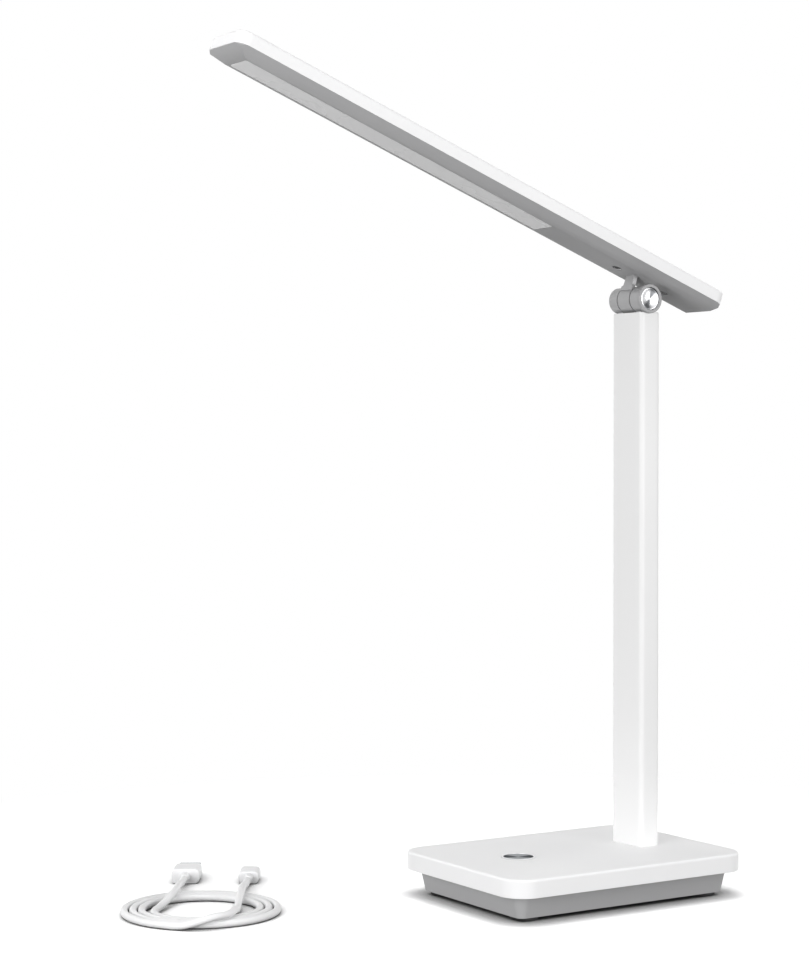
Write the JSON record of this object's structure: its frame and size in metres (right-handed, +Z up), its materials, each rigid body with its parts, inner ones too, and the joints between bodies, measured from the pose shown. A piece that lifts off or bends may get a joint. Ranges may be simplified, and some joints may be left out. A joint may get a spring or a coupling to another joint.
{
  "type": "folding led desk lamp",
  "caption": "Slim light bar on a friction hinge over a rectangular post and a low weighted base with a round push button; charging cable beside it.",
  "frame": {"origin": "on the table, in the plane of the rubber feet's lower faces, under the middle of the lamp's outline, halfway between the light bar's tip and its rear end", "axes": "+Z up along the post, the lamp's front and its light bar's tip toward -Y, the hinge axis along X"},
  "size_m": [0.2154, 0.3182, 0.4313],
  "materials": {
    "white_moulding": "satin moulded ABS, white",
    "grey_moulding": "satin moulded ABS with a silver-grey tint",
    "white_post": "extruded aluminium, white powder coat",
    "grey_casting": "die-cast zinc, silver-grey paint",
    "bezel_grey": "satin moulded ring, light grey",
    "spun_metal": "turned and plated disc",
    "button_metal": "turned aluminium",
    "steel": "zinc plated",
    "black_steel": "black oxide",
    "ballast": "plain mild steel plate",
    "rubber": "matt black",
    "foam": "adhesive foam",
    "cell_foil": "aluminium-laminate pouch",
    "board_green": "glass-fibre circuit board",
    "black_parts": "moulded components",
    "diffuser_white": "milky acrylic",
    "led_white": "white-masked aluminium board",
    "led_chip": "phosphor lens",
    "heat_plate": "plain sheet",
    "wire_black": "PVC sheath",
    "cable_white": "matt PVC sheath, white",
    "plug_white": "moulded PVC, white"
  },
  "bodies": {
    "root": {"base_cover": "white_moulding", "base_tray": "grey_moulding", "rubber_feet": "rubber", "case_screws": "steel", "ballast_plate": "ballast", "battery_pad": "foam", "battery_cells": "cell_foil", "main_board": "board_green", "board_parts": "black_parts", "board_screws": "steel", "button_switch": "black_parts", "button_ring": "spun_metal", "inlet_board": "board_green", "usb_c_inlet": "steel", "post_foot": "steel", "foot_screws": "steel", "post": "white_post", "post_screws": "steel", "hinge_saddle": "grey_casting", "saddle_screw": "steel", "friction_washers": "steel", "hinge_bolt": "steel", "spring_washers": "steel", "hinge_nut": "steel", "hinge_cap": "grey_moulding", "hinge_bezel": "bezel_grey", "hinge_disc": "spun_metal", "post_wire": "wire_black", "cable_coil": "cable_white", "cable_lead_a": "cable_white", "cable_lead_c": "cable_white", "usb_a_shell": "steel", "usb_a_tongue": "white_moulding", "usb_a_grip": "plug_white", "usb_c_shell": "steel", "usb_c_grip": "plug_white"},
    "head": {"head_cover": "white_moulding", "head_shell": "grey_moulding", "diffuser": "diffuser_white", "led_board": "led_white", "led_chips": "led_chip", "heat_spreader": "heat_plate", "led_screws": "steel", "neck_screws": "black_steel", "hinge_knuckle": "grey_casting", "head_wire": "wire_black"},
    "button": {"button_cap": "button_metal", "switch_plunger": "white_moulding"}
  },
  "joints": [
    {"name": "head_tilt", "type": "hinge", "parent": "root", "child": "head", "pos_m": [0, 0.09842, 0.3134], "axis": [1, 0, 0], "range_deg": [-65, 111.1]},
    {"name": "button_press", "type": "slide", "parent": "root", "child": "button", "axis": [0, 0, -1], "range_m": [0, 0.0008], "stiffness_N_per_m": 2000, "springref_m": -0.0005}
  ]
}
